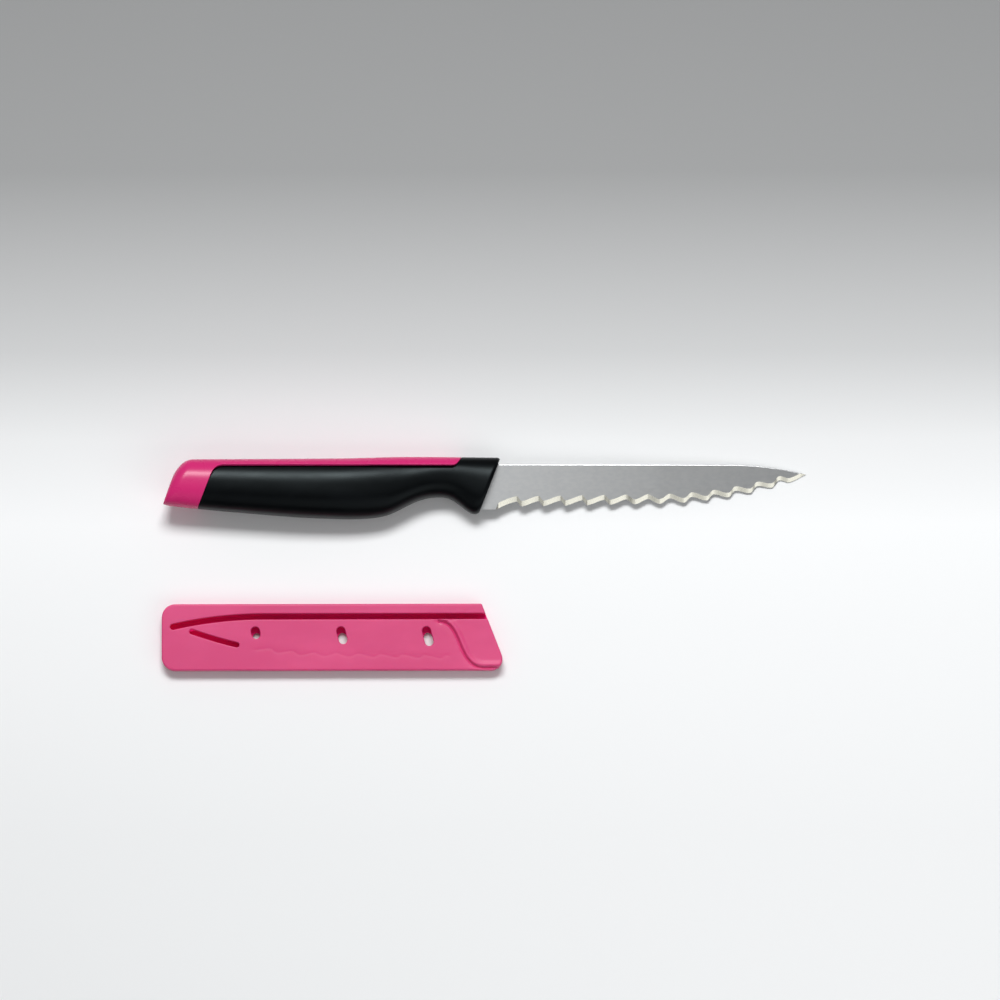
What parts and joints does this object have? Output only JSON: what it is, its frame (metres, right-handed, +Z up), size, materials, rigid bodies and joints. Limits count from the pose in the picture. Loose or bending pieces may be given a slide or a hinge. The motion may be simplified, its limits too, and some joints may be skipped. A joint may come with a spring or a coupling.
{
  "type": "serrated utility knife",
  "caption": "Utility knife with a scalloped serrated steel blade, a hard plastic core under a soft black grip with a finger hollow, and a flat slotted plastic sheath lying beside it.",
  "frame": {"origin": "on the table, below the middle of the knife and sheath as they lie side by side", "axes": "+X along the knife towards its tip, +Y towards the blade's spine, +Z up from the table"},
  "size_m": [0.24, 0.0794, 0.0183],
  "materials": {
    "blade_steel": "satin, with a bright ground band along the edge",
    "core_plastic": "glossy magenta",
    "grip_rubber": "soft-touch black with a low sheen",
    "sheath_plastic": "satin pink"
  },
  "bodies": {
    "knife": {"blade": "blade_steel", "handle_core": "core_plastic", "soft_grip": "grip_rubber"},
    "sheath": {"sheath_back_shell": "sheath_plastic", "sheath_front_shell": "sheath_plastic"}
  },
  "joints": [
    {"name": "sheath_draw", "type": "slide", "parent": "knife", "child": "sheath", "axis": [1, 0, 0], "range_m": [0, 0.122]}
  ]
}
